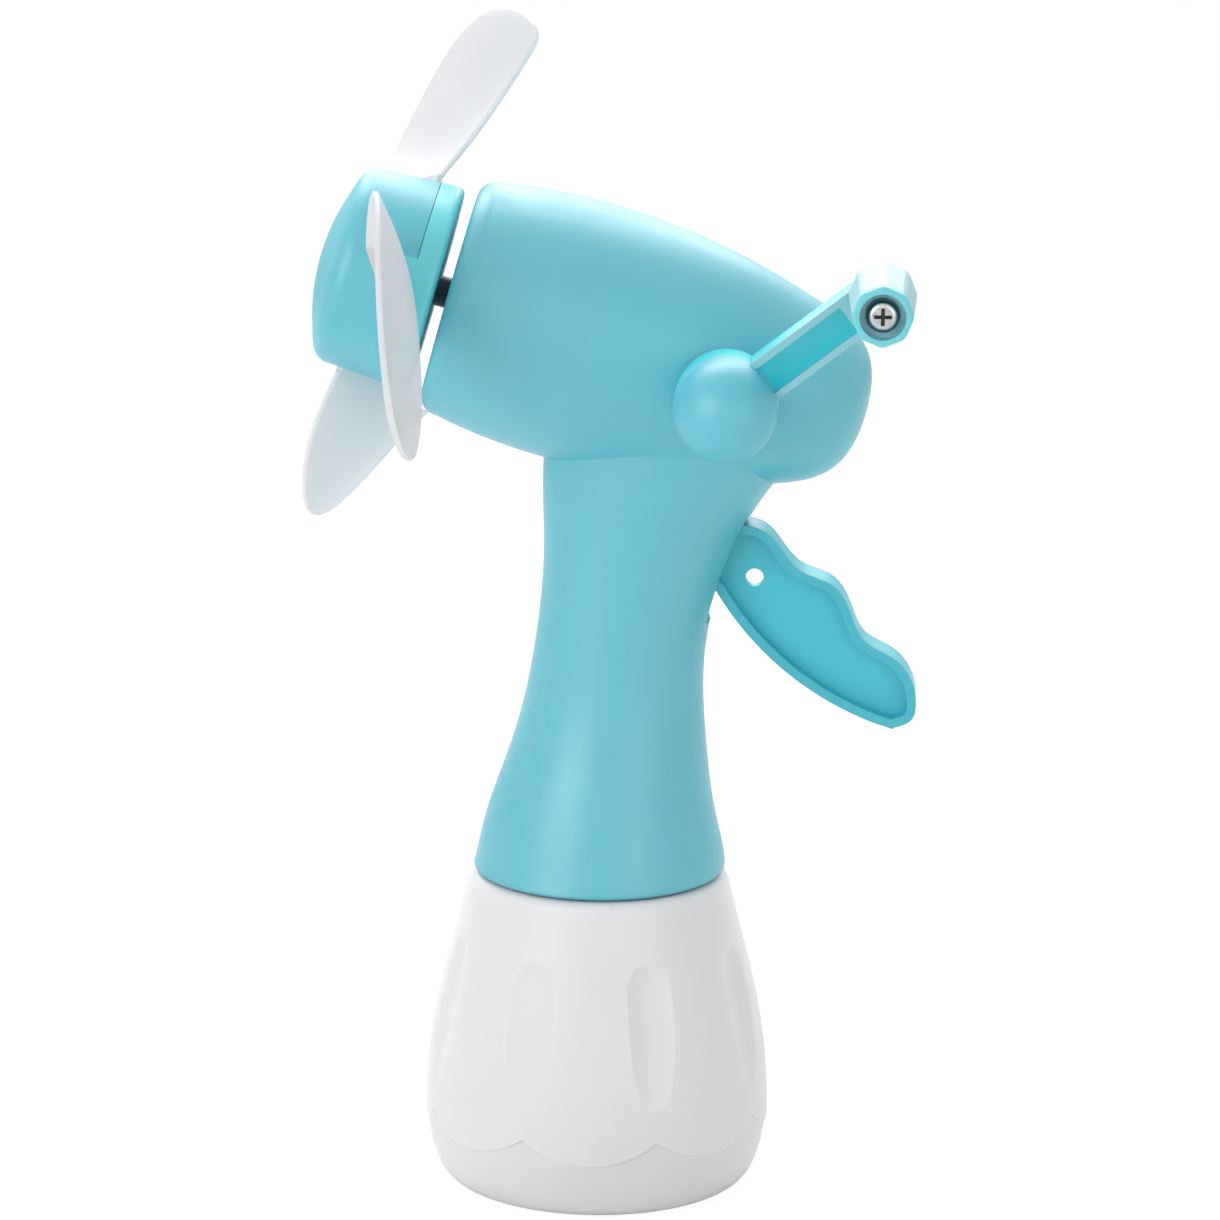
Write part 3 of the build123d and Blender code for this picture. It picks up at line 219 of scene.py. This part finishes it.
def two_tone(material, axis, near, far, tone, unsigned=False):
    """Give a moulded material another tone below a place on an axis."""
    tree = material.node_tree
    shader = tree.nodes["Principled BSDF"]
    skin = next(n for n in tree.nodes if n.type == "GROUP")
    place = tree.nodes.new("ShaderNodeTexCoord")
    split = tree.nodes.new("ShaderNodeSeparateXYZ")
    depth = tree.nodes.new("ShaderNodeMapRange")
    depth.inputs["From Min"].default_value = near
    depth.inputs["From Max"].default_value = far
    mix = tree.nodes.new("ShaderNodeMix")
    mix.data_type = "RGBA"
    mix.inputs["A"].default_value = (*tone, 1)
    tree.links.new(place.outputs["Object"], split.inputs[0])
    if unsigned:
        size = tree.nodes.new("ShaderNodeMath")
        size.operation = "ABSOLUTE"
        tree.links.new(split.outputs[axis], size.inputs[0])
        tree.links.new(size.outputs[0], depth.inputs["Value"])
    else:
        tree.links.new(split.outputs[axis], depth.inputs["Value"])
    tree.links.new(depth.outputs["Result"], mix.inputs["Factor"])
    tree.links.new(skin.outputs["Color"], mix.inputs["B"])
    tree.links.new(mix.outputs["Result"], shader.inputs["Base Color"])
    return depth.outputs["Result"]


def reflective(material, level):
    """Set how strongly a plastic's surface reflects the studio."""
    material.node_tree.nodes["Principled BSDF"].inputs["Specular IOR Level"].default_value = level


def dress(name, material):
    """Give a carried-over CAD node its finish."""
    node = nodes[name]
    node.data.materials.clear()
    node.data.materials.append(material)


shell_plastic = moulded("turquoise_shell", (0.112, 0.505, 0.605), (0.102, 0.488, 0.588), gloss=0.38)
reflective(shell_plastic, 1.0)
shell_rim_shade_low, shell_rim_shade_high = 0.0716, 0.0732
# Below the rim's line the shell is painted a darker teal: painted shade where the handle meets the
# bottle.
two_tone(shell_plastic, "Z", shell_rim_shade_low, shell_rim_shade_high, (0.070, 0.400, 0.480))
dress("shell_crank_side", shell_plastic)
dress("shell_far_side", shell_plastic)
dress("neck_collar", shell_plastic)

# ---- shell screws, crank screw and grip screw --------------------------
# Zinc-plated cross-head screws with a fine mottled plating. The grip's
# screw shows, and its cross recess is painted near black as shade.
screw_metal = bpy.data.materials.new("zinc_plate")
screw_metal.use_nodes = True
screw_tree = screw_metal.node_tree
screw_shader = screw_tree.nodes["Principled BSDF"]
screw_shader.inputs["Metallic"].default_value = 1.0
screw_place = screw_tree.nodes.new("ShaderNodeTexCoord")
screw_grain = screw_tree.nodes.new("ShaderNodeTexNoise")
screw_grain.inputs["Scale"].default_value = 900.0
screw_ramp = screw_tree.nodes.new("ShaderNodeValToRGB")
screw_ramp.color_ramp.elements[0].color = (0.45, 0.45, 0.46, 1)
screw_ramp.color_ramp.elements[1].color = (0.82, 0.82, 0.83, 1)
screw_rough = screw_tree.nodes.new("ShaderNodeMapRange")
screw_rough.inputs["To Min"].default_value = 0.18
screw_rough.inputs["To Max"].default_value = 0.36
screw_tree.links.new(screw_place.outputs["Object"], screw_grain.inputs["Vector"])
screw_tree.links.new(screw_grain.outputs["Fac"], screw_ramp.inputs["Fac"])
screw_tree.links.new(screw_ramp.outputs["Color"], screw_shader.inputs["Base Color"])
screw_tree.links.new(screw_grain.outputs["Fac"], screw_rough.inputs["Value"])
screw_tree.links.new(screw_rough.outputs["Result"], screw_shader.inputs["Roughness"])
dress("shell_screws", screw_metal)
dress("crank_screw", screw_metal)

grip_screw_shaded_metal = screw_metal.copy()
grip_screw_shaded_metal.name = "zinc_plate_painted_recess_shade"
recess_shade_tree = grip_screw_shaded_metal.node_tree
recess_shade_shader = recess_shade_tree.nodes["Principled BSDF"]
recess_shade_ramp = next(n for n in recess_shade_tree.nodes if n.type == "VALTORGB")
recess_shade_place = next(n for n in recess_shade_tree.nodes if n.type == "TEX_COORD")
recess_shade_split = recess_shade_tree.nodes.new("ShaderNodeSeparateXYZ")
recess_shade_depth = recess_shade_tree.nodes.new("ShaderNodeMapRange")
screw_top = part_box("grip_screw")[1][0]
# The grip screw's cross recess is painted near black: painted shade below the head's top.
recess_deep, recess_edge = 0.00075, 0.00035
recess_shade_depth.inputs["From Min"].default_value = screw_top - recess_deep
recess_shade_depth.inputs["From Max"].default_value = screw_top - recess_edge
recess_shade_mix = recess_shade_tree.nodes.new("ShaderNodeMix")
recess_shade_mix.data_type = "RGBA"
recess_shade_mix.inputs["A"].default_value = (0.055, 0.060, 0.055, 1)
recess_shade_tree.links.new(recess_shade_place.outputs["Object"], recess_shade_split.inputs[0])
recess_shade_tree.links.new(recess_shade_split.outputs["X"], recess_shade_depth.inputs["Value"])
recess_shade_tree.links.new(recess_shade_depth.outputs["Result"], recess_shade_mix.inputs["Factor"])
recess_shade_tree.links.new(recess_shade_ramp.outputs["Color"], recess_shade_mix.inputs["B"])
recess_shade_tree.links.new(recess_shade_mix.outputs["Result"], recess_shade_shader.inputs["Base Color"])
dress("grip_screw", grip_screw_shaded_metal)

# ---- steel shafts, balls and spring ------------------------------------
# Drawn and ground steel inside the body: crank shaft, trigger pin, mist
# tube, valve balls and the pump's spring.
ground_steel = bpy.data.materials.new("ground_steel")
ground_steel.use_nodes = True
steel_tree = ground_steel.node_tree
steel_shader = steel_tree.nodes["Principled BSDF"]
steel_shader.inputs["Metallic"].default_value = 1.0
steel_place = steel_tree.nodes.new("ShaderNodeTexCoord")
steel_lines = steel_tree.nodes.new("ShaderNodeTexNoise")
steel_lines.inputs["Scale"].default_value = 700.0
steel_ramp = steel_tree.nodes.new("ShaderNodeValToRGB")
steel_ramp.color_ramp.elements[0].color = (0.30, 0.31, 0.32, 1)
steel_ramp.color_ramp.elements[1].color = (0.58, 0.58, 0.60, 1)
steel_shader.inputs["Roughness"].default_value = 0.30
steel_tree.links.new(steel_place.outputs["Object"], steel_lines.inputs["Vector"])
steel_tree.links.new(steel_lines.outputs["Fac"], steel_ramp.inputs["Fac"])
steel_tree.links.new(steel_ramp.outputs["Color"], steel_shader.inputs["Base Color"])
for steel_name in ("crank_shaft", "trigger_pin", "mist_tube", "inlet_ball", "outlet_ball", "pump_spring"):
    dress(steel_name, ground_steel)

# ---- gears and bushes ---------------------------------------------------
# Gears, bushes, gland and piston in natural acetal, milky white and slightly
# waxy, each moulded in one piece and pressed or clipped into its seat.
acetal = moulded(
    "natural_acetal", pale=(0.80, 0.80, 0.77), deep=(0.76, 0.76, 0.73),
    gloss=0.34, glow=0.25, glow_depth=0.002,
)
for acetal_name in (
    "front_bush", "rear_bush", "crank_bush", "spindle_pinion", "crown_gear", "pump_gland",
    "pump_piston", "inlet_spigot", "dip_strainer",
):
    dress(acetal_name, acetal)

# ---- fan spindle, grip washer and nozzle --------------------------------
# The spindle in the gap behind the hub and the washer round the grip's screw
# are given a teal that is nearly black. On the spindle, a grey part, this is
# painted shade of the gap with a painted teal reflection. The mist nozzle is
# pale grey.
# Near-black teal: on the grey spindle it is painted shade and a painted teal reflection.
shade_dark_teal = moulded("dark_teal_painted_shade", (0.008, 0.085, 0.105), (0.005, 0.060, 0.076), gloss=0.34)
for shade_dark_teal_name in ("fan_spindle", "grip_washer"):
    dress(shade_dark_teal_name, shade_dark_teal)
nozzle_plastic = moulded("nozzle_grey", (0.62, 0.66, 0.67), (0.56, 0.60, 0.61), gloss=0.32)
dress("nozzle_tip", nozzle_plastic)

# ---- rubber seals --------------------------------------------------------
# The bottle's neck washer and the piston's seal, moulded in black rubber
# with a dull, slightly grainy skin.
seal_rubber = moulded(
    "seal_rubber", pale=(0.035, 0.035, 0.038), deep=(0.024, 0.024, 0.026), gloss=0.62, skin_depth=0.15,
)
dress("neck_washer", seal_rubber)
dress("piston_seal", seal_rubber)

# ---- pump and dip tube ---------------------------------------------------
# The pump's barrel and the spray elbow are moulded in a milky clear plastic,
# and the dip tube is extruded from the same.
pump_plastic = moulded("milky_clear", (0.72, 0.77, 0.78), (0.66, 0.72, 0.74), gloss=0.25, glow=0.4)
for pump_name in ("pump_body", "spray_elbow", "dip_tube"):
    dress(pump_name, pump_plastic)

# ---- crank: shaft hub, channel arm and domed cap -------------------------
# One moulding, painted pale along its rims as a highlight and a saturated
# teal down in the channel, whose thin floor is given a painted glow of light.
# The dome snaps on over the hub.
crank_plastic = moulded("crank_teal", (0.240, 0.580, 0.650), (0.225, 0.560, 0.630), gloss=0.34)
channel_floor_x, channel_rim_x = 0.0335, 0.0383
# The pale rims and outer faces above the channel are a painted highlight.
crank_highlight_and_glow_mask = two_tone(crank_plastic, "X", channel_floor_x, channel_rim_x, (0.034, 0.500, 0.550))
crank_tree = crank_plastic.node_tree
crank_shader = crank_tree.nodes["Principled BSDF"]
reflective(crank_plastic, 1.0)
# The channel's floor glows through its emission: painted light, not a lamp.
crank_floor_painted_glow = crank_tree.nodes.new("ShaderNodeMix")
crank_floor_painted_glow.data_type = "RGBA"
crank_floor_painted_glow.inputs["A"].default_value = (0.008, 0.170, 0.190, 1)
crank_floor_painted_glow.inputs["B"].default_value = (0, 0, 0, 1)
crank_tree.links.new(crank_highlight_and_glow_mask, crank_floor_painted_glow.inputs["Factor"])
crank_tree.links.new(crank_floor_painted_glow.outputs["Result"], crank_shader.inputs["Emission Color"])
crank_shader.inputs["Emission Strength"].default_value = 1.0
dress("crank_arm", crank_plastic)
cap_plastic = moulded("cap_turquoise", (0.110, 0.525, 0.640), (0.100, 0.505, 0.620), gloss=0.40)
reflective(cap_plastic, 1.0)
dome_foot_x, dome_edge_x = 0.0390, 0.0396
# The dome's foot is painted pale: a painted highlight along the edge of its rim.
two_tone(cap_plastic, "X", dome_foot_x, dome_edge_x, (0.330, 0.730, 0.790))
dress("crank_cap", cap_plastic)

# ---- gate stub on the crank's dome ---------------------------------------
# What is left of the moulding's gate after clipping: a stub a few tenths of
# a millimetre high, with a torn top, low on the dome's side.
def gate_nub(name, at, outward, radius, body, material):
    """A small rounded stub with a torn top, standing on a surface."""
    sunk, flattened, torn = 0.5, 0.7, 0.12
    mesh = bmesh.new()
    bmesh.ops.create_icosphere(mesh, subdivisions=3, radius=radius)
    for vertex in mesh.verts:
        vertex.co.z = max(vertex.co.z, -radius * sunk) * flattened
        vertex.co.z += radius * torn * sin(9000 * vertex.co.x + 7000 * vertex.co.y)
    data = bpy.data.meshes.new(name)
    mesh.to_mesh(data)
    mesh.free()
    data.transform(Vector(outward).to_track_quat("Z", "Y").to_matrix().to_4x4())
    data.transform(Matrix.Translation(at))
    for face in data.polygons:
        face.use_smooth = True
    piece = bpy.data.objects.new(name, data)
    bpy.context.scene.collection.objects.link(piece)
    data.materials.append(material)
    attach(piece, body)
    return piece


cap_low, cap_high = (Vector(corner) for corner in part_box("crank_cap"))
cap_centre = Vector((dome_foot_x, (cap_low.y + cap_high.y) / 2, (cap_low.z + cap_high.z) / 2))
cap_radius = (cap_high.z - cap_low.z) / 2
nub_way = Vector((0.12, -0.985, 0.03)).normalized()
nub_radius, nub_sunk = 0.00045, 0.0001
nub_at = cap_centre + nub_way * (cap_radius - nub_sunk)
gate_nub("crank_cap_gate", nub_at, nub_way, nub_radius, "crank", cap_plastic)

# ---- crank grip -----------------------------------------------------------
# The free-turning sleeve on the arm's post: pale and a little see-through,
# eight-sided, its end ring turquoise with a teal recess round the screw.
grip_ring_teal = (0.180, 0.640, 0.690)
grip_sleeve_pale = (0.360, 0.640, 0.700)
grip_plastic = moulded("grip_pale", grip_ring_teal, grip_ring_teal, gloss=0.34, glow=0.25)
grip_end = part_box("crank_grip")[1][0]
ring_depth, ring_edge = 0.0030, 0.0022
two_tone(grip_plastic, "X", grip_end - ring_depth, grip_end - ring_edge, grip_sleeve_pale)
dress("crank_grip", grip_plastic)

# ---- trigger --------------------------------------------------------------
# A finger lever moulded with a rim all round a thin web, and a deeper teal
# where it is thin. It swings on a steel pin.
trigger_plastic = moulded("trigger_teal", (0.052, 0.470, 0.560), (0.045, 0.450, 0.540), gloss=0.36)
web_face_x, rim_face_x = 0.0014, 0.0042
two_tone(trigger_plastic, "X", web_face_x, rim_face_x, (0.050, 0.540, 0.630), unsigned=True)
reflective(trigger_plastic, 0.7)
dress("trigger", trigger_plastic)

# ---- fan hub ---------------------------------------------------------------
# The ring that carries the blades' roots and the domed cap that clamps them,
# two satin mouldings in turquoise.
ring_plastic = moulded("hub_ring_teal", (0.130, 0.700, 0.760), (0.120, 0.680, 0.740), gloss=0.36)
reflective(ring_plastic, 1.0)
dome_plastic = moulded("hub_dome", (0.105, 0.520, 0.625), (0.095, 0.500, 0.605), gloss=0.38)
reflective(dome_plastic, 1.0)
dress("hub_base", ring_plastic)
dress("hub_cap", dome_plastic)

# ---- blades ----------------------------------------------------------------
# Three thin frosted blades, milky white, moulded apart and held by their
# roots. What is behind them shows through faintly.
blade_plastic = moulded("frosted_blade", (0.860, 0.858, 0.872), (0.835, 0.833, 0.848), gloss=0.46)
blade_shader = blade_plastic.node_tree.nodes["Principled BSDF"]
blade_shader.inputs["Alpha"].default_value = 0.74
for blade_name in ("blade_1", "blade_2", "blade_3"):
    dress(blade_name, blade_plastic)

# ---- water bottle ------------------------------------------------------------
# A blow-moulded bottle in milky white with a satin skin, its wall a little
# uneven in tone. It screws up into the neck collar.
bottle_plastic = moulded(
    "milky_bottle", pale=(0.880, 0.875, 0.890), deep=(0.850, 0.845, 0.862),
    gloss=0.34, cloud=24.0, glow=0.35, glow_depth=0.008,
)
dress("bottle", bottle_plastic)
